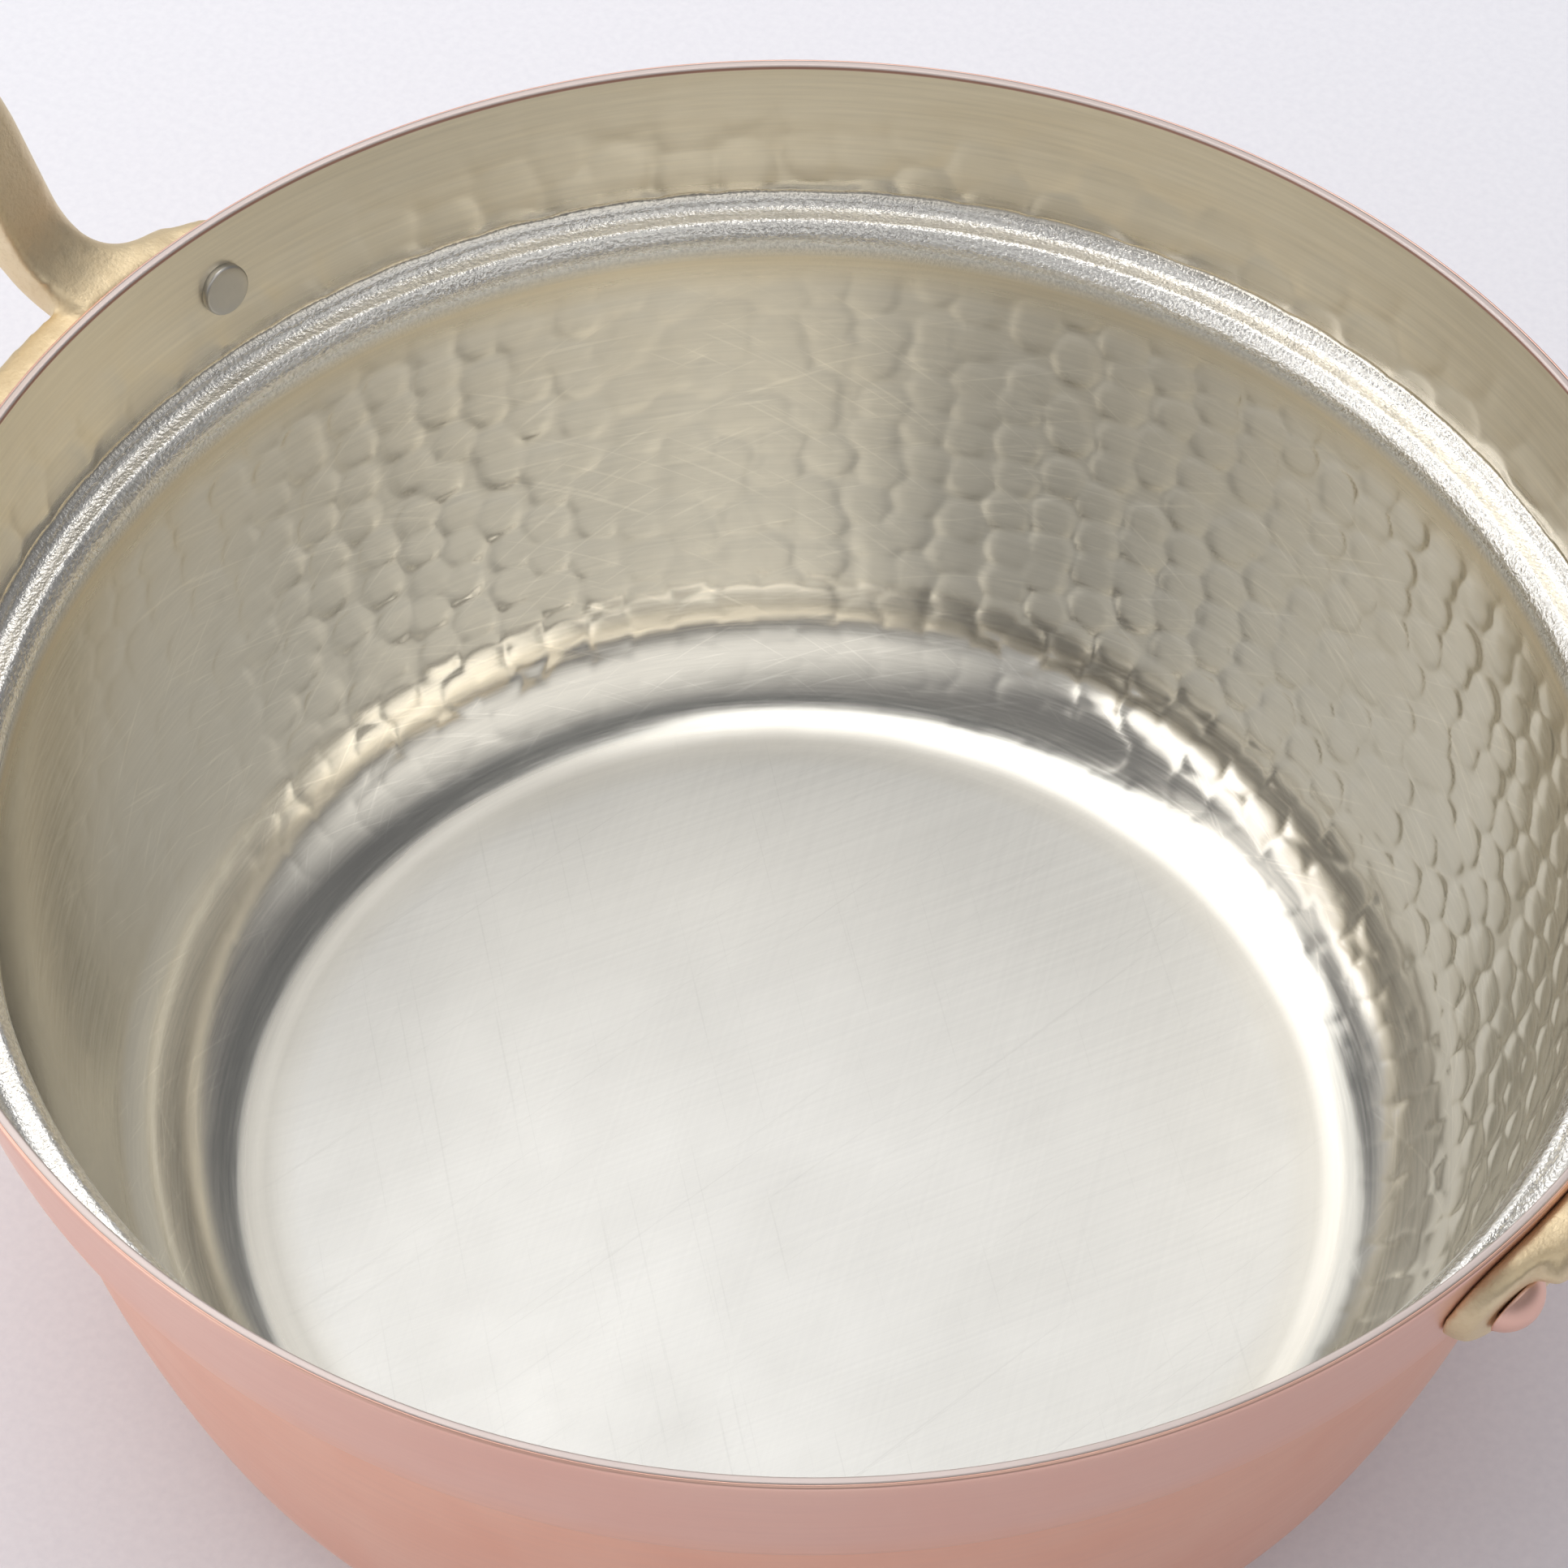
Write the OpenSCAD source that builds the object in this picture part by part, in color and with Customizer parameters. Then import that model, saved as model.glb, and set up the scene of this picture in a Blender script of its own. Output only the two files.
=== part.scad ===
// Stepped copper pot with a tinned inside and two riveted cast handles.
// Millimetres, +Z up. The origin is the centre of the base and the handles stand along X.

/* [Pot] */
// Outside diameter across the lip
rim_d = 240; // [200:1:280]
// Height from the base to the top of the lip
pot_h = 106; // [90:1:130]
// Thickness of the copper sheet
copper_t = 1.5; // [1:0.1:2]
// Thickness of the tin that lines the inside
tin_t = 0.2; // [0.1:0.05:0.3]
// Rounding of the lip's outer edge
lip_r = 0.5; // [0.2:0.1:0.8]

/* [Band and ledge] */
// Depth of the ledge below the lip
band_h = 23; // [21:0.5:30]
// Outward lean of the band above the ledge, in degrees
band_flare = 10.5; // [6:0.5:13]
// Width of the ledge from the band's foot to the wall
ledge_w = 6; // [5.6:0.1:12]
// Inside fillet where the band meets the ledge
ledge_root_r = 3; // [1:0.1:3.5]
// Bend radius under the nose of the ledge
ledge_nose_r = 1.3; // [0.5:0.1:1.8]

/* [Wall and floor] */
// Draft of the wall just under the ledge, in degrees
wall_draft = 1.9; // [0.5:0.1:4]
// How far the belly draws in from the straight wall before the floor corner
belly_tuck = 7.4; // [4:0.2:14]
// Inside radius of the corner between wall and floor
floor_corner_r = 24.5; // [15:0.5:32]

/* [Rivets] */
// Diameter of the rivet shank
rivet_d = 5; // [4:0.1:6]
// Depth of the rivets below the lip
rivet_drop = 10.5; // [10:0.1:11.5]
// Distance between the two rivets of one handle
rivet_gap = 80.8; // [76:0.2:92]
// Diameter of the flat head inside the pot
flat_head_d = 7.6; // [6.5:0.1:9]
// Height of the flat head inside the pot
flat_head_h = 1.3; // [0.8:0.1:2]
// Diameter of the domed head outside
dome_d = 9.2; // [7:0.1:11]
// Height of the domed head outside
dome_h = 3; // [2:0.1:4]

/* [Handle plate] */
// Radius of the plate's round ends, half the plate's height
plate_end_r = 8.6; // [7:0.1:9.2]
// Thickness of the plate in the middle
plate_mid_t = 5.7; // [4.6:0.1:8]
// Thickness of the plate at the rivets
plate_rivet_t = 4; // [3:0.1:4.5]

/* [Handle loop] */
// Distance between the centre lines of the two legs
leg_gap = 50.8; // [44:0.2:60]
// Depth below the lip where the legs leave the plate
leg_drop = 5; // [4:0.1:9]
// Radius in which the legs bend upwards
leg_bend_r = 17; // [12:0.5:24]
// Rise of the loop above level, in degrees
loop_rise = 70; // [50:1:80]
// Height of the middle of the grip above the lip
grip_h = 35; // [28:0.5:45]
// Radius of the loop's two upper corners, on the centre line
loop_corner_r = 17; // [11:0.5:20]
// Width of the bar across the loop
bar_w = 12.4; // [10:0.1:14]
// Thickness of the bar
bar_t = 7.5; // [6:0.1:10]
// Rounding of the bar on its outer side
bar_round_r = 3.3; // [1:0.1:3.7]
// Rounding of the crisp edge round the inside of the loop
bar_arris_r = 0.9; // [0.4:0.1:2]
// Fillet from each leg to the round end of the plate
foot_fillet_r = 10; // [6:0.5:14]

/* [Hidden] */

$fn = 96;

// How far a straight stretch of a profile may lie off its true arc
arc_sag = 0.05;

// Wall offsets, measured outwards from the tinned face
shell_t = copper_t + tin_t;

// Radius of the band at an offset and a height
function band_r(offset, z) =
    rim_d / 2 - (shell_t - offset) / cos(band_flare) - (pot_h - z) * tan(band_flare);

// Radius of the wall's straight line on the tinned face
function wall_line_r(z) = band_r(0, ledge_z) - ledge_w - (ledge_z - z) * tan(wall_draft);

// Points on an arc about a centre, both ends included
function arc(centre, r, from, to) =
    let (steps = max(3, ceil(abs(to - from) / (2 * acos(1 - arc_sag / r)))))
    [for (k = [0:steps]) let (a = from + (to - from) * k / steps) centre + r * [cos(a), sin(a)]];

// The same arc carried on from a path that already ends on its first point
function arc_on(centre, r, from, to) =
    let (points = arc(centre, r, from, to))
    [for (k = [1:len(points) - 1]) points[k]];

// Root fillet of the band and nose of the ledge
ledge_z = pot_h - band_h;
root_z = ledge_z + ledge_root_r;
root_centre = [band_r(0, root_z) - ledge_root_r / cos(band_flare), root_z];
nose_face_r = ledge_nose_r + shell_t;
nose_z = ledge_z - nose_face_r;
nose_centre = [wall_line_r(nose_z) + nose_face_r / cos(wall_draft), nose_z];

// Floor corner, and the belly arc that meets both the nose and the corner smoothly
floor_z = shell_t;
corner_z = floor_z + floor_corner_r;
corner_centre = [wall_line_r(corner_z) - belly_tuck - floor_corner_r, corner_z];
wall_in = [-cos(wall_draft), sin(wall_draft)];
belly_top = nose_centre + nose_face_r * wall_in;
belly_run = belly_top - corner_centre;
belly_r = (floor_corner_r ^ 2 - belly_run * belly_run) / (2 * (wall_in * belly_run + floor_corner_r));
belly_centre = belly_top + belly_r * wall_in;
corner_dir = corner_centre - belly_centre;
corner_a = atan2(corner_dir[1], corner_dir[0]);

// One face of the pot from the middle of the floor to the foot of the band
function pot_face(offset) = concat(
    [[0, floor_z - offset]],
    arc(corner_centre, floor_corner_r + offset, -90, corner_a),
    arc_on(belly_centre, belly_r + offset, corner_a, -wall_draft),
    arc_on(nose_centre, nose_face_r - offset, 180 - wall_draft, 90),
    arc(root_centre, ledge_root_r + offset, -90, -band_flare));

function reversed(points) = [for (k = [len(points) - 1:-1:0]) points[k]];

// Lip: the tin covers its flat top and the copper shows on its rounded outer edge
lip_z = pot_h - lip_r;
lip_centre = [band_r(shell_t, lip_z) - lip_r / cos(band_flare), lip_z];
lip_edge = arc(lip_centre, lip_r, -band_flare, 90);
tin_edge_r = lip_centre[0];
seam_z = pot_h - tin_t;
lip_seam = [[band_r(tin_t, seam_z), seam_z], [tin_edge_r, seam_z]];

// Rivet places and the handle plate's outer face, a cone on its own centre nearer the handle
rivet_z = pot_h - rivet_drop;
rivet_a = asin(rivet_gap / 2 / band_r(shell_t, rivet_z));
plate_mid_r = band_r(shell_t, rivet_z) + plate_mid_t;
plate_rivet_r = band_r(shell_t, rivet_z) + plate_rivet_t;
plate_centre_x = (plate_mid_r ^ 2 - plate_rivet_r ^ 2) / (2 * (plate_mid_r - plate_rivet_r * cos(rivet_a)));
plate_cone_r = plate_mid_r - plate_centre_x;
plate_top_z = rivet_z + plate_end_r;
plate_low_z = rivet_z - plate_end_r;
cut_over = 2 * bar_t;

function plate_face_r(z) = plate_cone_r + (z - rivet_z) * tan(band_flare);

// Rivet heads in the rivet's own frame, radius and place along it
flat_edge_r = flat_head_h / 3;
flat_head_edge = concat(
    arc([flat_head_d / 2 - flat_edge_r, flat_edge_r - flat_head_h], flat_edge_r, 0, -90),
    [[0, -flat_head_h]]);
dome_seat = shell_t + plate_rivet_t;
dome_r = (dome_d ^ 2 / 4 + dome_h ^ 2) / (2 * dome_h);
dome_edge = arc([0, dome_seat + dome_h - dome_r], dome_r, asin(1 - dome_h / dome_r), 90);

// Loop path: a rounded U, laid out flat as run and side, then bent up out of the wall
leg_z = pot_h - leg_drop;
leg_y = leg_gap / 2;
wall_x = sqrt(band_r(shell_t, leg_z) ^ 2 - leg_y ^ 2);
root_run = leg_y * tan(rivet_a);
bend_run = root_run + leg_bend_r * loop_rise * PI / 180;
grip_run = bend_run + (grip_h + leg_drop - leg_bend_r * (1 - cos(loop_rise))) / sin(loop_rise);
turn_run = grip_run - loop_corner_r;
turn_y = leg_y - loop_corner_r;
leg_stations = 22;
corner_stations = 8;

// Slope of the loop at a run along the leg, and the place it has there
function slope_at(run) = max(0, min(loop_rise, (run - root_run) / leg_bend_r * 180 / PI));
function place_at(run, y) =
    let (slope = slope_at(run), rest = max(0, run - bend_run), root = min(0, run - root_run))
    [wall_x + root + leg_bend_r * sin(slope) + rest * cos(slope),
     y,
     leg_z + leg_bend_r * (1 - cos(slope)) + rest * sin(slope)];

// Extra half width on the outer side of a leg, for the fillet into the plate
plate_edge_x = plate_centre_x + sqrt(plate_face_r(leg_z) ^ 2 - (leg_y + bar_w / 2) ^ 2);
function foot_flare(x) =
    let (clear = max(0, min(foot_fillet_r, x - plate_edge_x)))
    foot_fillet_r - sqrt(foot_fillet_r ^ 2 - (foot_fillet_r - clear) ^ 2);

// Section of the bar: round on the outside of the loop, a crisp edge on the inside
round_r = min(bar_round_r, bar_t / 2 - 0.2);
bar_section = let (x = bar_w / 2, y = bar_t / 2) concat(
    section_corner([x - round_r, y - round_r], round_r, 0),
    section_corner([bar_arris_r - x, y - bar_arris_r], bar_arris_r, 90),
    section_corner([round_r - x, round_r - y], round_r, 180),
    section_corner([x - round_r, round_r - y], round_r, 270));
function section_corner(centre, r, from) =
    [for (k = [0:4]) let (a = from + 22.5 * k) centre + r * [cos(a), sin(a)]];

// Stations along the loop: run, side and turn of the path
loop_stations = concat(
    [for (k = [0:leg_stations]) [turn_run * k / leg_stations, leg_y, 0]],
    [for (k = [1:corner_stations]) let (a = 90 * k / corner_stations)
        [turn_run + loop_corner_r * sin(a), turn_y + loop_corner_r * cos(a), a]],
    [for (k = [0:corner_stations - 1]) let (a = 90 + 90 * k / corner_stations)
        [turn_run + loop_corner_r * sin(a), -turn_y + loop_corner_r * cos(a), a]],
    [for (k = [leg_stations:-1:0]) [turn_run * k / leg_stations, -leg_y, 180]]);

// The section's points at one station
function loop_ring(station) =
    let (place = place_at(station[0], station[1]),
         slope = slope_at(station[0]),
         up = [-sin(slope), 0, cos(slope)],
         side = cos(station[2]) * [0, 1, 0] + sin(station[2]) * [cos(slope), 0, sin(slope)],
         stretch = 1 + foot_flare(place[0]) / (bar_w / 2))
    [for (p = bar_section) place + side * (p[0] > 0 ? p[0] * stretch : p[0]) + up * p[1]];

// Copper pot: one sheet from the floor over the belly, ledge and band to the lip
module copper_body() {
    color([0.80, 0.53, 0.44])
    difference() {
        rotate_extrude()
            polygon(concat(
                pot_face(shell_t),
                lip_edge,
                reversed(lip_seam),
                reversed(pot_face(tin_t))));
        every_rivet_hole();
    }
}

// Tin on the inside of the pot and over the top of the lip
module tin_lining() {
    color([0.77, 0.76, 0.72])
    difference() {
        rotate_extrude()
            polygon(concat(
                pot_face(tin_t),
                lip_seam,
                [[tin_edge_r, pot_h], [band_r(0, pot_h), pot_h]],
                reversed(pot_face(0))));
        every_rivet_hole();
    }
}

// Places its children on the tinned face of the band, with +X out through the wall
module on_band(angle) {
    rotate([0, 0, angle])
        translate([band_r(0, rivet_z), 0, rivet_z])
            rotate([0, band_flare, 0])
                children();
}

// A round bar along +X
module bar_x(d, from, to) {
    translate([from, 0, 0])
        rotate([0, 90, 0])
            cylinder(d = d, h = to - from);
}

module every_rivet_hole() {
    for (end = [0, 180], side = [-1, 1])
        rivet_hole(end + side * rivet_a);
}

module rivet_hole(angle) {
    on_band(angle) bar_x(rivet_d, -shell_t, shell_t + plate_mid_t);
}

// Ring of metal that follows the band, from an offset outwards, between two heights
module band_ring(offset, depth, low_z, top_z) {
    rotate_extrude()
        polygon([[band_r(offset, low_z), low_z], [band_r(offset + depth, low_z), low_z],
                 [band_r(offset + depth, top_z), top_z], [band_r(offset, top_z), top_z]]);
}

// Everything inside the outer face of the handle plate
module plate_cone() {
    translate([plate_centre_x, 0, plate_low_z - cut_over])
        cylinder(h = plate_top_z - plate_low_z + 2 * cut_over,
                 r1 = plate_face_r(plate_low_z - cut_over),
                 r2 = plate_face_r(plate_top_z + cut_over));
}

// Everything inside the copper band, up past the lip
module inside_band() {
    low_z = plate_low_z - cut_over;
    top_z = pot_h + cut_over;
    translate([0, 0, low_z])
        cylinder(h = top_z - low_z, r1 = band_r(shell_t, low_z), r2 = band_r(shell_t, top_z));
}

// Outline of the plate: a level strip with round ends about the rivets, carried out along X
module plate_outline() {
    rotate([90, 0, 90])
        linear_extrude(band_r(shell_t, plate_top_z) + 2 * plate_mid_t)
            polygon(concat(
                arc([rivet_gap / 2, rivet_z], plate_end_r, -90, 90),
                arc([-rivet_gap / 2, rivet_z], plate_end_r, 90, 270)));
}

// The bar of the loop, swept from one foot over the grip to the other
module loop_bar() {
    sides = len(bar_section);
    last = len(loop_stations) - 1;
    points = [for (station = loop_stations) each loop_ring(station)];
    skin = [for (i = [0:last - 1], k = [0:sides - 1])
        let (a = i * sides + k, b = i * sides + (k + 1) % sides)
        each [[a, a + sides, b], [b, a + sides, b + sides]]];
    feet = [[for (k = [0:sides - 1]) k], [for (k = [sides - 1:-1:0]) last * sides + k]];
    polyhedron(points = points, faces = concat(skin, feet), convexity = 6);
}

// Cast brass handle at +X: a crescent plate against the band and a loop that stands up from it
module handle() {
    color([0.74, 0.66, 0.47])
    difference() {
        union() {
            intersection() {
                plate_outline();
                plate_cone();
            }
            loop_bar();
        }
        inside_band();
        for (side = [-1, 1])
            rivet_hole(side * rivet_a);
    }
}

module left_handle() {
    rotate([0, 0, 180]) handle();
}

module right_handle() {
    handle();
}

// A head turned about +X: its round edge rises from a foot to a crown
module turned_head(d, foot, edge) {
    rotate([0, 90, 0])
        rotate_extrude()
            polygon(concat([[0, foot], [d / 2, foot]], edge));
}

// Copper rivet at +X on one side: flat head inside, shank through wall and plate, domed head outside
module rivet(side) {
    color([0.78, 0.51, 0.42])
    union() {
        on_band(side * rivet_a) bar_x(rivet_d, -flat_head_h / 2, dome_seat + dome_h / 2);
        difference() {
            on_band(side * rivet_a) turned_head(flat_head_d, shell_t, flat_head_edge);
            band_ring(0, plate_mid_t, plate_low_z, plate_top_z);
        }
        difference() {
            on_band(side * rivet_a) turned_head(dome_d, shell_t, dome_edge);
            plate_cone();
        }
    }
}

module right_front_rivet() {
    rivet(-1);
}

module right_back_rivet() {
    rivet(1);
}

module left_front_rivet() {
    rotate([0, 0, 180]) rivet(1);
}

module left_back_rivet() {
    rotate([0, 0, 180]) rivet(-1);
}

copper_body();
tin_lining();
left_handle();
right_handle();
left_front_rivet();
left_back_rivet();
right_front_rivet();
right_back_rivet();
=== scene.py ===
import math

import bmesh
import bpy
import numpy as np
from mathutils import Matrix, Vector


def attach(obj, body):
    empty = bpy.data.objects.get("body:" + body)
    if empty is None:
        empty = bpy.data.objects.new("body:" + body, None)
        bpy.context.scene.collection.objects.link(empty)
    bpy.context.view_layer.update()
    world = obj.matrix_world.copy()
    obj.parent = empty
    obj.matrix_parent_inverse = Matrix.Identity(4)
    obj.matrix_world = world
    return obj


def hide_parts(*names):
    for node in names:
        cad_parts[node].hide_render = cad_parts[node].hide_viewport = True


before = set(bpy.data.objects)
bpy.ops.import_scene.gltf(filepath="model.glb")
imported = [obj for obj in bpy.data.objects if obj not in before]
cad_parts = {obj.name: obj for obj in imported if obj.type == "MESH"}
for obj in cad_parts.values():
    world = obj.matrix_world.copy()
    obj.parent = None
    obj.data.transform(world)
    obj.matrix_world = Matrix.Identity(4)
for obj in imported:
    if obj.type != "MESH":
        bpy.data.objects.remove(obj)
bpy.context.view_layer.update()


# COPPER BODY
# The pot itself: one sheet of copper, spun to a tapered bowl with a stepped, flared band and a rounded lip.
# The outside is rubbed to an even satin, so none of the hammer blows that shaped the wall show on it.
MM = 0.001
RIM_R = 120.0
POT_H = 106.0
TIN_T = 0.2
SHEET_T = 1.7
LIP_R = 0.5
FLARE = math.radians(10.5)
DRAFT = math.radians(1.9)
LEDGE_Z = 83.0
LEDGE_W = 6.0
ROOT_R = 3.0
NOSE_R = 3.0
BELLY_TUCK = 7.4
CORNER_R = 24.5
BODY_AROUND = 480
OUTSIDE_STEPS = (6.0, 1.5, 0.5)
HIDDEN_STEPS = (9.0, 5.0, 1.2)
LIP_STEP = 0.08
LIP_END = math.radians(80)
LIP_SHY = 0.06
BAND_SHY = 0.4


def band_r(offset, z):
    """Radius of the flared band, offset 0 on the tinned face and SHEET_T on the copper outside."""
    return RIM_R - (SHEET_T - offset) / math.cos(FLARE) - (POT_H - z) * math.tan(FLARE)


def wall_r(z):
    return band_r(0, LEDGE_Z) - LEDGE_W - (LEDGE_Z - z) * math.tan(DRAFT)


ROOT_AT = np.array([band_r(0, LEDGE_Z + ROOT_R) - ROOT_R / math.cos(FLARE), LEDGE_Z + ROOT_R])
NOSE_AT = np.array([wall_r(LEDGE_Z - NOSE_R) + NOSE_R / math.cos(DRAFT), LEDGE_Z - NOSE_R])
CORNER_Z = CORNER_R + SHEET_T
CORNER_AT = np.array([wall_r(CORNER_Z) - BELLY_TUCK - CORNER_R, CORNER_Z])
wall_in = np.array([-math.cos(DRAFT), math.sin(DRAFT)])
belly_top = NOSE_AT + NOSE_R * wall_in
belly_run = belly_top - CORNER_AT
BELLY_R = (CORNER_R ** 2 - belly_run @ belly_run) / (2 * (wall_in @ belly_run + CORNER_R))
BELLY_AT = belly_top + BELLY_R * wall_in
CORNER_A = math.atan2(*(CORNER_AT - BELLY_AT)[::-1])


def sweep_arc(centre, radius, start, end, step):
    """Points along an arc in the pot's half section, about one step apart, without its first point."""
    count = max(2, math.ceil(abs(end - start) * radius / step))
    turn = np.linspace(start, end, count + 1)[1:]
    return np.c_[centre[0] + radius * np.cos(turn), centre[1] + radius * np.sin(turn)]


def pot_section(offset, floor_step, wall_step, ledge_step, band_top):
    """The half section of one face of the sheet, from the middle of the floor up the wall to the band."""
    floor_z = CORNER_Z - CORNER_R - offset
    floor_r = np.linspace(0, CORNER_AT[0], math.ceil(CORNER_AT[0] / floor_step) + 1)
    root_end = ROOT_AT + (ROOT_R + offset) * np.array([math.cos(FLARE), -math.sin(FLARE)])
    band_z = np.linspace(root_end[1], band_top, math.ceil((band_top - root_end[1]) / wall_step) + 1)[1:]
    return np.vstack([
        np.c_[floor_r, np.full(len(floor_r), floor_z)],
        sweep_arc(CORNER_AT, CORNER_R + offset, -math.pi / 2, CORNER_A, wall_step),
        sweep_arc(BELLY_AT, BELLY_R + offset, CORNER_A, -DRAFT, wall_step),
        sweep_arc(NOSE_AT, NOSE_R - offset, math.pi - DRAFT, math.pi / 2, ledge_step),
        sweep_arc(ROOT_AT, ROOT_R + offset, -math.pi / 2, -FLARE, ledge_step),
        np.c_[band_r(offset, band_z), band_z],
    ])


def spun_mesh(name, radius, height):
    """A closed skin turned about the pot's axis, from rings in mm. The first and last are one point each."""
    rings, around = radius.shape[0] - 2, radius.shape[1]
    angle = np.arange(around) * 2 * math.pi / around
    ring = np.stack([radius * np.cos(angle), radius * np.sin(angle), height], -1)[1:-1].reshape(-1, 3)
    tips = np.array([[0, 0, height[0].mean()], [0, 0, height[-1].mean()]])
    points = np.vstack([ring, tips]) * MM
    here = np.arange(around)
    after = (here + 1) % around
    base = np.arange(rings - 1)[:, None] * around
    above = base + around
    quads = np.stack([base + here, base + after, above + after, above + here], -1).reshape(-1, 4)
    last = (rings - 1) * around
    first_fan = np.stack([np.full(around, rings * around), after, here], -1)
    last_fan = np.stack([np.full(around, rings * around + 1), last + here, last + after], -1)
    mesh = bpy.data.meshes.new(name)
    mesh.from_pydata(points.tolist(), [], quads.tolist() + first_fan.tolist() + last_fan.tolist())
    mesh.validate()
    mesh.shade_smooth()
    skin = bpy.data.objects.new(name, mesh)
    bpy.context.scene.collection.objects.link(skin)
    return skin


class ShaderNodes:
    """The nodes of one shader tree, with short ways to add the common ones."""

    def __init__(self, tree):
        self.tree = tree

    def put(self, socket, value):
        if isinstance(value, bpy.types.NodeSocket):
            self.tree.links.new(value, socket)
        else:
            socket.default_value = value

    def node(self, kind, values=(), **settings):
        made = self.tree.nodes.new(kind)
        for key, value in settings.items():
            setattr(made, key, value)
        for key, value in dict(values).items():
            self.put(made.inputs[key], value)
        return made

    def sums(self, operation, a, b=0.0):
        return self.node("ShaderNodeMath", {0: a, 1: b}, operation=operation).outputs[0]

    def plus(self, a, b):
        return self.sums("ADD", a, b)

    def times(self, a, b):
        return self.sums("MULTIPLY", a, b)

    def spread(self, value, low, high, out_low, out_high):
        """A value between low and high, spread evenly from out_low to out_high and held there beyond them."""
        values = {0: value, 1: low, 2: high, 3: out_low, 4: out_high}
        return self.node("ShaderNodeMapRange", values).outputs[0]

    def vector(self, x, y, z):
        return self.node("ShaderNodeCombineXYZ", {0: x, 1: y, 2: z}).outputs[0]

    def grain(self, where, scale, detail=2.0, rough=0.5):
        values = {"Vector": where, "Scale": scale, "Detail": detail, "Roughness": rough}
        return self.node("ShaderNodeTexNoise", values).outputs["Fac"]

    def blend(self, share, a, b):
        mixed = self.node("ShaderNodeMix", data_type="RGBA")
        self.put(mixed.inputs[0], share)
        self.put(mixed.inputs[6], a)
        self.put(mixed.inputs[7], b)
        return mixed.outputs[2]

    def bump(self, height, depth, under=None):
        values = {"Height": height, "Distance": depth, "Strength": 1.0}
        made = self.node("ShaderNodeBump", values)
        if under is not None:
            self.put(made.inputs["Normal"], under)
        return made.outputs["Normal"]

    def place(self):
        return self.node("ShaderNodeNewGeometry").outputs["Position"]


class Finish(ShaderNodes):
    """A surface finish put together from shader nodes."""

    def __init__(self, name):
        self.material = bpy.data.materials.new(name)
        self.material.use_nodes = True
        super().__init__(self.material.node_tree)
        self.shader = self.tree.nodes["Principled BSDF"]

    def set_input(self, name, value):
        self.put(self.shader.inputs[name], value)

    def around_pot(self):
        """A point's place, its x, y and z, its distance from the axis, and its angle's cosine and sine."""
        place = self.place()
        split = self.node("ShaderNodeSeparateXYZ", {0: place}).outputs
        reach = self.sums("SQRT", self.plus(self.times(split[0], split[0]), self.times(split[1], split[1])))
        reach = self.sums("MAXIMUM", reach, 1e-6)
        return (place, split[0], split[1], split[2], reach,
                self.sums("DIVIDE", split[0], reach), self.sums("DIVIDE", split[1], reach))

    def put_on(self, piece):
        piece.data.materials.append(self.material)


copper = Finish("satin_copper")
COPPER_LIGHT = (0.94, 0.575, 0.43, 1)
COPPER_DEEP = (0.88, 0.49, 0.36, 1)
COPPER_GREY = (0.82, 0.53, 0.44, 1)
COPPER_PAINTED_REFLECTION = (0.84, 0.58, 0.52, 1)
place, x, y, z, reach, cos_a, sin_a = copper.around_pot()
up_side = copper.times(copper.plus(z, reach), 900)
polish_at = copper.vector(up_side, copper.times(cos_a, 5), copper.times(sin_a, 5))
polish_lines = copper.grain(polish_at, 1.0, 3)
smudges = copper.grain(place, 26, 3, 0.6)
tone = copper.blend(copper.spread(smudges, 0.35, 0.7, 0, 1), COPPER_LIGHT, COPPER_DEEP)
tone = copper.blend(copper.spread(polish_lines, 0.4, 0.75, 0, 0.3), tone, COPPER_GREY)
# Painted reflection: the flared band above the step faces down to the pale paper, so it is painted a greyer,
# paler pink there.
tone = copper.blend(copper.spread(z, 0.083, 0.089, 0, 0.45), tone, COPPER_PAINTED_REFLECTION)
copper.set_input("Base Color", tone)
copper.set_input("Metallic", 1.0)
rough = copper.spread(smudges, 0.3, 0.75, 0.34, 0.46)
rough = copper.plus(rough, copper.spread(polish_lines, 0.3, 0.7, -0.03, 0.03))
copper.set_input("Roughness", rough)
copper.set_input("Normal", copper.bump(polish_lines, 0.000006))

lip_z = POT_H - LIP_R
lip_at = np.array([band_r(SHEET_T, lip_z) - LIP_R / math.cos(FLARE) - LIP_SHY, lip_z])
seam_z = POT_H - TIN_T
outside = pot_section(SHEET_T, *OUTSIDE_STEPS, lip_z - LIP_R * math.sin(FLARE) - BAND_SHY)
lip_edge = sweep_arc(lip_at, LIP_R, -FLARE, LIP_END, LIP_STEP)
inside = pot_section(TIN_T, *HIDDEN_STEPS, seam_z)
section = np.vstack([outside, lip_edge, [[lip_at[0], seam_z + 0.1]], inside[::-1]])
radius = np.repeat(section[:, :1], BODY_AROUND, 1)
height = np.repeat(section[:, 1:], BODY_AROUND, 1)
body = spun_mesh("pot_body", radius, height)
copper.put_on(body)
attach(body, "root")
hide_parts("copper_body")


# TIN LINING
# A thin coat of tin wiped over the whole inside and the top of the lip, struck all over with a round hammer.
# Its wall is rubbed smooth in two places, its floor scoured with straight strokes and its ledge left frosted.
AROUND = 1080
FACE_STEPS = (3.0, 0.68, 0.28)
LIP_EDGE_R = 0.4
LIP_EDGE_STEP = 0.12
BLOW_W = 7.1
BLOWS_FIRST = 12.0
BLOWS_LAST = 84.0
BLOWS_SEED = 11
BLOW_DEPTH = ([8, 13, 66, 76, 84, 90], [0, 1, 1, 0.6, 0.28, 0])
RUBBED_PATCHES = ((116, 21, 0.55), (208, 40, 0.97))
BAND_BLOW_W = 9.0
BAND_FIRST = -13.0
BAND_LAST = -4.0
BAND_SEED = 23
BAND_BLOW_DEPTH = ([84.5, 86, 91, 97, 101], [0, 1, 0.7, 0.3, 0])
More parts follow.
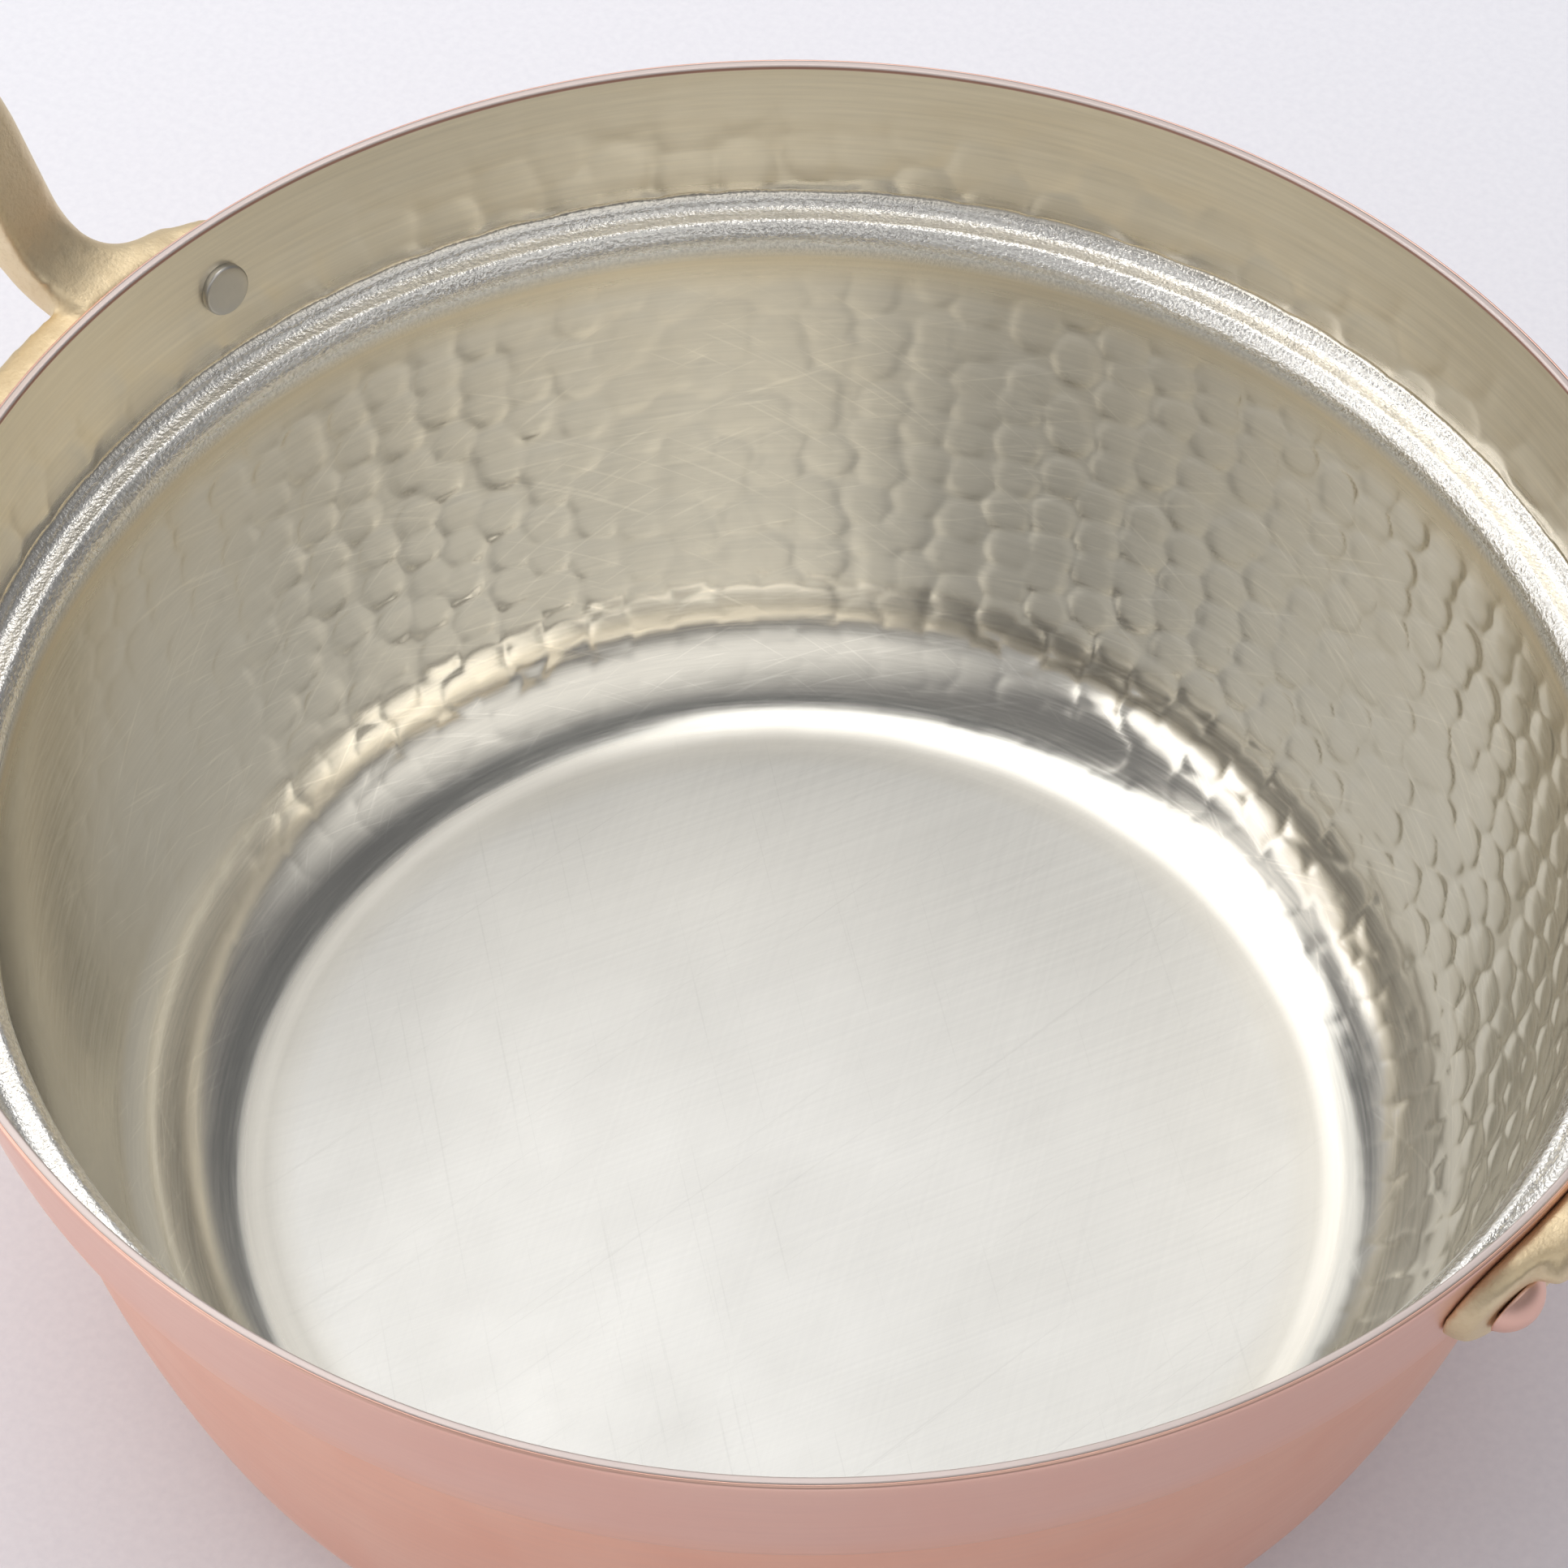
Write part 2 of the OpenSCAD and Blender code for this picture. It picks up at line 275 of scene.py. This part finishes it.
BAND_BLOW_SHARE = 0.9
LEDGE_BEADS = ((-3.0, 1.2, 0.26), (1.0, 1.4, 0.24))
FLOOR_DISH = 0.48
DISH_START_R = 56
DISH_W = 24
DISH_TOP = 58
DISH_FADE = 38


def hammer_blows(angle, along, radius, first, last, blow_w, seed):
    """Height in mm of the ridges left between round hammer blows, laid in staggered columns up the wall."""
    row_gap, spare_rows = 0.92 * blow_w, 7
    ridge_top, flat_share, edge_power = 0.36, 0.12, 2.4
    draw = np.random.default_rng(seed)
    ridge = np.full(angle.shape, ridge_top)
    struck = np.flatnonzero((along[:, 0] > first - blow_w) & (along[:, 0] < last + blow_w))
    part = slice(struck[0], struck[-1] + 1)
    columns = 2 * round(math.pi * radius[part].mean() / blow_w)
    rows = math.ceil((last - first) / row_gap) + spare_rows
    stagger = 0.5 * (np.arange(columns) % 2) + draw.uniform(-0.12, 0.12, columns)
    slip_u, slip_v = draw.normal(0, 0.13 * blow_w, (2, columns, rows))
    rise = draw.uniform(0.15, 0.225, (columns, rows))
    sink = draw.uniform(0, 0.035, (columns, rows))
    lean_u, lean_v = draw.normal(0, 0.008, (2, columns, rows))
    place = angle[part] / (2 * math.pi) * columns
    for step_u in (-1, 0, 1):
        cell = np.floor(place).astype(int) + step_u
        column = cell % columns
        level = (along[part] - first) / row_gap - stagger[column]
        for step_v in (-1, 0, 1):
            row = np.floor(level).astype(int) + step_v
            blow = (column, np.clip(row + spare_rows // 2, 0, rows - 1))
            across = (place - cell - 0.5) * 2 * math.pi * radius[part] / columns - slip_u[blow]
            down = (level - row - 0.5) * row_gap - slip_v[blow]
            spread = (across ** 2 + down ** 2) / (0.25 * blow_w ** 2)
            bowl = flat_share * spread + (1 - flat_share) * spread ** edge_power
            dent = rise[blow] * bowl + sink[blow] + lean_u[blow] * across + lean_v[blow] * down
            ridge[part] = np.minimum(ridge[part], dent)
    return ridge


edge_z = POT_H - LIP_EDGE_R
face = pot_section(0, *FACE_STEPS, edge_z)
edge_at = (band_r(0, edge_z) + LIP_EDGE_R, edge_z)
lip_round = sweep_arc(edge_at, LIP_EDGE_R, math.pi - FLARE, math.pi / 2, LIP_EDGE_STEP)
lip_top = np.c_[np.linspace(lip_round[-1, 0], lip_at[0], 4)[1:], np.full(3, POT_H)]
face = np.vstack([face, lip_round, lip_top])
length = np.r_[0, np.cumsum(np.hypot(*np.diff(face, axis=0).T))]
ledge_row = int(np.argmin(np.hypot(*(face - (NOSE_AT + [0, NOSE_R])).T)))
below_ledge = length[ledge_row] - length
tangent = np.gradient(face, axis=0)
tangent = tangent / np.hypot(*tangent.T)[:, None]
inward = np.c_[-tangent[:, 1], tangent[:, 0]]
angle = np.repeat((np.arange(AROUND) * 2 * math.pi / AROUND)[None], len(face), 0)
along = np.repeat(below_ledge[:, None], AROUND, 1)
girth_r = np.repeat(face[:, :1], AROUND, 1)

blows = hammer_blows(angle, along, girth_r, BLOWS_FIRST, BLOWS_LAST, BLOW_W, BLOWS_SEED)
patchy = 0.80 + 0.20 * np.sin(angle * 3 + along / 17) * np.cos(angle * 2 - along / 23)
for rubbed_at, rubbed_w, rubbed in RUBBED_PATCHES:
    apart = (np.degrees(angle) - rubbed_at + 180) % 360 - 180
    patchy = patchy * (1 - rubbed * np.exp(-(apart / rubbed_w) ** 4))
raised = blows * np.interp(below_ledge, *BLOW_DEPTH)[:, None] * patchy
above_ledge = np.repeat((face[:, 1] - LEDGE_Z)[:, None], AROUND, 1)
band_blows = hammer_blows(angle, -above_ledge, girth_r, BAND_FIRST, BAND_LAST, BAND_BLOW_W, BAND_SEED)
band_depth = BAND_BLOW_SHARE * np.interp(face[:, 1], *BAND_BLOW_DEPTH) * (np.arange(len(face)) > ledge_row)
raised = raised + band_blows * band_depth[:, None]
for bead_at, bead_w, bead_h in LEDGE_BEADS:
    bead = np.clip(1 - np.abs(below_ledge - bead_at) / bead_w, 0, 1)
    raised = raised + (bead_h * np.sin(bead * math.pi / 2) ** 2)[:, None]
dish_end = np.clip((below_ledge - DISH_TOP) / DISH_FADE, 0, 1)
dish_start = np.clip((face[:, 0] - DISH_START_R) / DISH_W, 0, 1)
raised = raised + (FLOOR_DISH * dish_start ** 2 * dish_end ** 2 * (3 - 2 * dish_end))[:, None]
radius = face[:, :1] + raised * inward[:, :1]
height = face[:, 1:] + raised * inward[:, 1:]
back = np.vstack([[[lip_at[0], seam_z]], inside[::-1]])
radius = np.vstack([radius, np.repeat(back[:, :1], AROUND, 1)])[::-1]
height = np.vstack([height, np.repeat(back[:, 1:], AROUND, 1)])[::-1]
lining = spun_mesh("lining", radius, height)

tin = Finish("wiped_tin")
TIN_FLOOR = (0.87, 0.87, 0.85, 1)
TIN_WALL = (0.79, 0.76, 0.685, 1)
TIN_WARM = (0.82, 0.745, 0.605, 1)
TIN_LEDGE = (0.86, 0.845, 0.81, 1)
TIN_BAND = (0.97, 0.905, 0.765, 1)
TIN_TAN = (0.84, 0.74, 0.56, 1)
TIN_LIP = (0.72, 0.63, 0.60, 1)
LIP_LINE = (0.55, 0.33, 0.28, 1)
TIN_CORNER = (0.86, 0.825, 0.745, 1)
TIN_PAINTED_DARK_RING = (0.36, 0.375, 0.37, 1)
STROKE_A = math.radians(49)
place, x, y, z, reach, cos_a, sin_a = tin.around_pot()
up_wall = tin.plus(z, reach)


def zone(value, starts, full, fades, gone):
    """1 from full to fades, and down to 0 at starts and gone."""
    return tin.times(tin.spread(value, starts, full, 0, 1), tin.spread(value, gone, fades, 0, 1))


def strokes(stroke_a, fine, long, seed):
    """Straight scouring strokes across the floor at one angle, as thin streaks from 0 to 1."""
    run = tin.plus(tin.times(x, math.cos(stroke_a)), tin.times(y, math.sin(stroke_a)))
    side = tin.sums("SUBTRACT", tin.times(y, math.cos(stroke_a)), tin.times(x, math.sin(stroke_a)))
    at = tin.vector(tin.times(run, long), tin.times(side, fine), seed)
    return tin.grain(at, 1.0, 3, 0.65)


def rings(level, fine, turns, detail):
    """Brushed lines that run round the pot, as thin streaks from 0 to 1."""
    at = tin.vector(tin.times(level, fine), tin.times(cos_a, turns), tin.times(sin_a, turns))
    return tin.grain(at, 1.0, detail, 0.6)


on_floor = tin.spread(reach, 0.081, 0.072, 0, 1)
on_band = tin.spread(z, 0.086, 0.090, 0, 1)
frost = zone(z, 0.0775, 0.0800, 0.0840, 0.0852)
under_nose = zone(z, 0.0715, 0.0770, 0.0790, 0.0800)
low_corner = tin.times(tin.spread(z, 0.030, 0.016, 0, 0.8), tin.spread(reach, 0.0800, 0.0850, 0, 1))
# A dark ring painted all round the floor's edge, where the wall curves down: a painted dark reflection, not
# wear.
painted_dark_ring = tin.times(zone(reach, 0.0798, 0.0810, 0.0842, 0.0858), tin.spread(z, 0.020, 0.015, 0, 1))
brushed = rings(up_wall, 1500, 6, 4)
main_strokes = strokes(STROKE_A, 1700, 22, 1.7)
cross_strokes = strokes(STROKE_A + 0.9, 1300, 16, 5.3)
wide_strokes = strokes(STROKE_A - 0.12, 240, 9, 9.1)
floor_lines = tin.plus(tin.times(main_strokes, 0.6), tin.times(cross_strokes, 0.4))
lines = tin.node("ShaderNodeMix", {0: on_floor, 2: brushed, 3: floor_lines}).outputs[0]
cloud = tin.grain(place, 38, 3, 0.6)

warmth = tin.times(tin.spread(z, 0.030, 0.090, 0, 1), tin.spread(cloud, 0.25, 0.7, 0.5, 1))
tone = tin.blend(warmth, TIN_WALL, TIN_WARM)
tone = tin.blend(tin.times(on_band, 0.9), tone, TIN_BAND)
band_wipes = tin.times(tin.spread(rings(z, 160, 3, 3), 0.45, 0.70, 0, 0.30), on_band)
tone = tin.blend(band_wipes, tone, TIN_TAN)
tone = tin.blend(on_floor, tone, TIN_FLOOR)
tone = tin.blend(under_nose, tone, TIN_TAN)
tone = tin.blend(frost, tone, TIN_LEDGE)
tone = tin.blend(tin.spread(z, 0.10530, 0.10545, 0, 1), tone, LIP_LINE)
tone = tin.blend(tin.spread(z, 0.10570, 0.10585, 0, 1), tone, TIN_LIP)
tone = tin.blend(low_corner, tone, TIN_CORNER)
# Painted dark reflection in the ring round the floor's edge.
tone = tin.blend(tin.times(painted_dark_ring, 0.40), tone, TIN_PAINTED_DARK_RING)

scratches = 0.0
for sway_x, sway_y, seed in ((85, 20, 3.1), (-60, 65, 6.7), (-15, -90, 8.9)):
    across = tin.plus(tin.times(cos_a, sway_x), tin.times(sin_a, sway_y))
    across = tin.plus(tin.times(up_wall, 1100), across)
    at = tin.vector(tin.times(cos_a, 5), across, tin.plus(tin.times(sin_a, 5), seed))
    scratches = tin.plus(tin.spread(tin.grain(at, 1.0, 2, 0.5), 0.63, 0.70, 0, 1), scratches)
off_band = tin.times(tin.spread(z, 0.078, 0.060, 0, 1), tin.spread(reach, 0.081, 0.085, 0, 1))
scratches = tin.times(scratches, off_band)
steep_hairs = tin.spread(strokes(STROKE_A + 1.35, 1500, 14, 2.3), 0.64, 0.70, 0, 1)
flat_hairs = tin.spread(strokes(STROKE_A + 0.3, 1500, 11, 4.4), 0.64, 0.70, 0, 1)
hairlines = tin.times(tin.plus(steep_hairs, flat_hairs), on_floor)
line_tone = tin.plus(tin.spread(lines, 0.3, 0.7, 0.94, 1.05), tin.times(scratches, 0.10))
line_tone = tin.sums("SUBTRACT", line_tone, tin.times(hairlines, 0.06))
frosting = tin.grain(place, 1900, 2, 0.6)
sparkle = tin.spread(frosting, 0.34, 0.66, 0.84, 1.12)
sparkle = tin.node("ShaderNodeMix", {0: frost, 2: 1.0, 3: sparkle}).outputs[0]
line_tone = tin.times(line_tone, sparkle)
line_tone = tin.vector(line_tone, line_tone, line_tone)
tone = tin.node("ShaderNodeVectorMath", {0: tone, 1: line_tone}, operation="MULTIPLY").outputs[0]
tin.set_input("Base Color", tone)
tin.set_input("Metallic", 1.0)
rough = tin.plus(tin.spread(lines, 0.3, 0.7, 0.14, 0.20), tin.spread(cloud, 0.3, 0.7, -0.02, 0.03))
rough = tin.plus(rough, tin.spread(reach, 0.0812, 0.0768, 0, 0.36))
rough = tin.plus(rough, tin.spread(z, 0.085, 0.088, 0, 0.18))
rough = tin.plus(rough, tin.times(under_nose, 0.16))
rough = tin.plus(rough, tin.times(frost, 0.10))
rough = tin.plus(rough, tin.spread(z, 0.1053, 0.1056, 0, 0.18))
tin.set_input("Roughness", rough)
line_height = tin.plus(lines, tin.times(tin.times(wide_strokes, on_floor), 0.8))
line_bump = tin.bump(line_height, 0.0000015)
frost_grain = tin.times(frosting, tin.plus(frost, tin.times(under_nose, 0.12)))
tin.set_input("Normal", tin.bump(frost_grain, 0.00019, line_bump))
tin.put_on(lining)
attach(lining, "root")
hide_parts("tin_lining")


# HANDLES
# Two brass loops, each sand cast in one piece with a crescent plate that sits against the flared band.
# The grip leans up and out from the plate, and the casting is left matte with its fine sand grain.
GRAIN_STEP = 0.40
FILED_Z = 107.5
FILE_STROKES = 24
FILE_BITE = 0.5
RUB_STROKES = 14
RUB_BITE = 0.5
WELD = 1e-6
brass = Finish("cast_brass")
BRASS_LIGHT = (0.95, 0.815, 0.585, 1)
BRASS_DEEP = (0.70, 0.555, 0.34, 1)
BRASS_DULL = (0.84, 0.71, 0.49, 1)
place = brass.place()
z = brass.node("ShaderNodeSeparateXYZ", {0: place}).outputs[2]
sand = brass.grain(place, 1700, 2, 0.6)
pits = brass.grain(place, 420, 3, 0.6)
patina = brass.grain(place, 45, 3, 0.6)
tone = brass.blend(brass.spread(patina, 0.35, 0.7, 0, 1), BRASS_LIGHT, BRASS_DULL)
tone = brass.blend(brass.spread(sand, 0.5, 0.8, 0, 0.5), tone, BRASS_DEEP)
tone = brass.blend(brass.spread(z, 0.116, 0.104, 0, 0.5), tone, BRASS_DEEP)
brass.set_input("Base Color", tone)
brass.set_input("Metallic", 1.0)
brass.set_input("Roughness", brass.spread(pits, 0.3, 0.7, 0.44, 0.56))
pit_bump = brass.bump(pits, 0.00010)
brass.set_input("Normal", brass.bump(sand, 0.00005, pit_bump))

for side in ("left", "right"):
    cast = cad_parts[side + "_handle"].data.copy()
    welded = bmesh.new()
    welded.from_mesh(cast)
    bmesh.ops.remove_doubles(welded, verts=welded.verts, dist=WELD)
    welded.to_mesh(cast)
    welded.free()
    cast.materials.clear()
    rough_casting = bpy.data.objects.new("rough_" + side, cast)
    bpy.context.scene.collection.objects.link(rough_casting)
    skin = rough_casting.modifiers.new("skin", "REMESH")
    skin.mode = "VOXEL"
    skin.voxel_size = GRAIN_STEP * MM
    rub = rough_casting.modifiers.new("rub", "SMOOTH")
    rub.factor = RUB_BITE
    rub.iterations = RUB_STROKES
    bpy.context.view_layer.update()
    cleaned = rough_casting.evaluated_get(bpy.context.evaluated_depsgraph_get())
    mesh = bpy.data.meshes.new_from_object(cleaned)
    mesh.name = side + "_loop_handle"
    bpy.data.objects.remove(rough_casting)
    filed = bmesh.new()
    filed.from_mesh(mesh)
    foot = [point for point in filed.verts if point.co.z < FILED_Z * MM]
    for stroke in range(FILE_STROKES):
        bmesh.ops.smooth_vert(
            filed, verts=foot, factor=FILE_BITE, use_axis_x=True, use_axis_y=True, use_axis_z=True)
    filed.to_mesh(mesh)
    filed.free()
    mesh.shade_smooth()
    handle = bpy.data.objects.new(side + "_loop_handle", mesh)
    bpy.context.scene.collection.objects.link(handle)
    brass.put_on(handle)
    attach(handle, "root")
    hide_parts(side + "_handle")


# RIVETS
# Four solid copper rivets, two to a handle, driven from inside so that a flat head lies against the lining.
# The outer end is set to a dome on the plate. The inner head was wiped with tin along with the pot.
RIVET_Z = 95.5
RIVET_GAP = 80.8
SHANK_R = 2.5
RIVET_AROUND = 64
TINNED_DEPTH = 0.9
head_finish = Finish("wiped_head")
HEAD_TONE = (0.60, 0.585, 0.555, 1)
HEAD_WORN = (0.68, 0.655, 0.61, 1)
place = head_finish.place()
rubbed = head_finish.grain(place, 600, 3, 0.6)
head_finish.set_input("Base Color", head_finish.blend(rubbed, HEAD_TONE, HEAD_WORN))
head_finish.set_input("Metallic", 1.0)
head_finish.set_input("Roughness", head_finish.spread(rubbed, 0.3, 0.7, 0.30, 0.38))
head_finish.set_input("Normal", head_finish.bump(rubbed, 0.00003))
HEAD_R = 3.8
HEAD_H = 1.3
HEAD_EDGE = 0.43
DOME_W = 9.2
DOME_H = 3.0
PLATE_T = 4.0
DOME_SEAT = SHEET_T + PLATE_T
dome_r = (DOME_W ** 2 / 4 + DOME_H ** 2) / (2 * DOME_H)
dome_a = math.asin(DOME_W / 2 / dome_r)
head = np.vstack([
    [[0, -HEAD_H], [1.2, -HEAD_H], [2.4, -HEAD_H + 0.01]],
    sweep_arc((HEAD_R - HEAD_EDGE, HEAD_EDGE - HEAD_H), HEAD_EDGE, -math.pi / 2, 0, 0.09),
    [[HEAD_R, -0.02], [HEAD_R - 0.05, 0.02], [SHANK_R, 0.05]],
])
dome = np.vstack([
    [[SHANK_R, DOME_SEAT - 0.05], [DOME_W / 2 - 0.15, DOME_SEAT - 0.02], [DOME_W / 2, DOME_SEAT + 0.12]],
    sweep_arc((0, DOME_SEAT + DOME_H - dome_r), dome_r, math.pi / 2 - dome_a + 0.05, math.pi / 2, 0.3),
])
rivet_section = np.vstack([head, dome])
rivet_radius = np.repeat(rivet_section[:, :1], RIVET_AROUND, 1)
rivet_along = np.repeat(rivet_section[:, 1:], RIVET_AROUND, 1)
rivet_a = math.asin(RIVET_GAP / 2 / band_r(SHEET_T, RIVET_Z))
seat = Matrix.Translation(Vector((band_r(0, RIVET_Z), 0, RIVET_Z)) * MM)
lay_down = Matrix.Rotation(FLARE, 4, "Y") @ Matrix.Rotation(math.pi / 2, 4, "Y")
for name, turn in (("right_front", -rivet_a), ("right_back", rivet_a),
                   ("left_front", math.pi + rivet_a), ("left_back", math.pi - rivet_a)):
    rivet = spun_mesh(name + "_stud", rivet_radius, rivet_along)
    rivet.data.transform(Matrix.Rotation(turn, 4, "Z") @ seat @ lay_down)
    head_finish.put_on(rivet)
    copper.put_on(rivet)
    outward = Vector((math.cos(turn), math.sin(turn), 0))
    copper_from = (band_r(0, RIVET_Z) + TINNED_DEPTH) * MM
    outer = np.array([facet.center @ outward > copper_from for facet in rivet.data.polygons])
    rivet.data.polygons.foreach_set("material_index", outer.astype(np.int32))
    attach(rivet, "root")
    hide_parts(name + "_rivet")


# TABLE, LIGHT AND CAMERA
# A sheet of pale paper, four soft lamps above, behind and left, and a grey room for the metal to mirror.
# The camera looks down into the pot from the front, close enough for the rim to leave the picture.
VIEW_TURN = math.radians(24)


def in_view(point):
    """A point given as right, back and up from the middle of the picture, turned into the pot's own frame."""
    return Matrix.Rotation(VIEW_TURN, 3, "Z") @ Vector(point)


paper = Finish("pale_paper")
PAPER = (0.86, 0.86, 0.89, 1)
PAPER_SHADE = (0.82, 0.82, 0.855, 1)
PAPER_W = 6
place = paper.place()
fibres = paper.grain(place, 700, 3, 0.6)
paper_tone = paper.blend(paper.spread(fibres, 0.35, 0.7, 0, 1), PAPER, PAPER_SHADE)
paper.set_input("Base Color", paper_tone)
paper.set_input("Roughness", 0.85)
paper.set_input("Normal", paper.bump(fibres, 0.00002))
bpy.ops.mesh.primitive_plane_add(size=PAPER_W, location=(0, 0, 0))
table = bpy.context.object
table.name = "paper_table"
paper.put_on(table)

LAMP_TINT = (1.0, 0.985, 0.965)
LAMPS = (
    ("overhead_light", (-0.30, 0.34, 1.05), (-0.30, 0.34, 0.0), 0.80, 0.48, 2.6),
    ("back_panel", (-0.10, 0.76, 0.95), (0.0, 0.0, 0.05), 0.80, 0.54, 1.15),
    ("left_window", (-1.0, -0.12, 0.60), (0.0, 0.0, 0.05), 1.30, 0.56, 1.25),
    ("high_left_window", (-0.74, 0.13, 0.98), (0.0, 0.0, 0.05), 0.36, 0.32, 0.6),
)
for name, stands, faces, wide, deep, glow in LAMPS:
    lamp = bpy.data.lights.new(name, "AREA")
    lamp.shape = "RECTANGLE"
    lamp.size = wide
    lamp.size_y = deep
    lamp.energy = glow * math.pi * wide * deep
    lamp.color = LAMP_TINT
    hung = bpy.data.objects.new(name, lamp)
    hung.location = in_view(stands)
    aim = in_view(faces) - in_view(stands)
    hung.rotation_euler = aim.to_track_quat("-Z", "Y").to_euler()
    if aim.xy.length < 1e-6:
        hung.rotation_euler = (0, 0, VIEW_TURN)
    hung.visible_camera = False
    bpy.context.scene.collection.objects.link(hung)

room = bpy.data.worlds.new("pale_room")
bpy.context.scene.world = room
room.use_nodes = True
sky = ShaderNodes(room.node_tree)
sky.tree.nodes.clear()
WALL_DARK = (0.16, 0.16, 0.165, 1)
WALL_LIGHT = (0.75, 0.75, 0.76, 1)
CEILING_BACK = (0.19, 0.19, 0.195, 1)
CEILING_FRONT = (0.92, 0.91, 0.89, 1)
BACKDROP = (0.94, 0.945, 0.96, 1)
FILL = (0.95, 0.95, 1.0, 1)
FILL_GLOW = 0.66
way = sky.node("ShaderNodeTexCoord").outputs["Generated"]


def toward(direction):
    """How far a look into the room goes in one direction, from -1 to 1."""
    values = {0: way, 1: in_view(direction).normalized()}
    return sky.node("ShaderNodeVectorMath", values, operation="DOT_PRODUCT").outputs["Value"]


def lit(colour, glow=1.0):
    return sky.node("ShaderNodeBackground", {"Color": colour, "Strength": glow}).outputs[0]


window_share = sky.spread(toward((-0.85, 0.45, -0.20)), -0.6, 0.8, 0, 1)
walls = sky.blend(window_share, WALL_DARK, WALL_LIGHT)
front_share = sky.spread(toward((0.55, -0.85, 0.0)), 0.15, 0.55, 0, 1)
ceiling = sky.blend(front_share, CEILING_BACK, CEILING_FRONT)
up_share = sky.spread(sky.node("ShaderNodeSeparateXYZ", {0: way}).outputs[2], 0.48, 0.66, 0, 1)
mirrored_room = lit(sky.blend(up_share, walls, ceiling))
rays = sky.node("ShaderNodeLightPath").outputs
in_mirror = sky.sums("MAXIMUM", rays["Is Glossy Ray"], rays["Is Transmission Ray"])
shared = {0: in_mirror, 1: lit(FILL, FILL_GLOW), 2: mirrored_room}
by_mirror = sky.node("ShaderNodeMixShader", shared).outputs[0]
shared = {0: rays["Is Camera Ray"], 1: by_mirror, 2: lit(BACKDROP)}
by_camera = sky.node("ShaderNodeMixShader", shared).outputs[0]
sky.put(sky.node("ShaderNodeOutputWorld").inputs["Surface"], by_camera)

CAMERA_AT = (0.0, -408.58, 587.98)
CAMERA_YAW, CAMERA_PITCH, CAMERA_ROLL = -0.00545, 0.88748, 0.01873
PICTURE_PX, FOCAL_PX = 1932, 6000
ahead = Vector((math.sin(CAMERA_YAW) * math.cos(CAMERA_PITCH), math.cos(CAMERA_YAW) * math.cos(CAMERA_PITCH),
                -math.sin(CAMERA_PITCH)))
level = Vector((math.cos(CAMERA_YAW), -math.sin(CAMERA_YAW), 0))
upward = level.cross(ahead)
right = math.cos(CAMERA_ROLL) * level + math.sin(CAMERA_ROLL) * upward
top = -math.sin(CAMERA_ROLL) * level + math.cos(CAMERA_ROLL) * upward
lens = bpy.data.cameras.new("camera")
lens.sensor_width = 36
lens.lens = 36 * FOCAL_PX / PICTURE_PX
lens.clip_start = 0.01
camera = bpy.data.objects.new("camera", lens)
facing = Matrix((in_view(right), in_view(top), in_view(-ahead))).transposed()
camera.matrix_world = Matrix.Translation(in_view(CAMERA_AT) * MM) @ facing.to_4x4()
bpy.context.scene.collection.objects.link(camera)
bpy.context.scene.camera = camera
bpy.context.scene.view_settings.view_transform = "Standard"
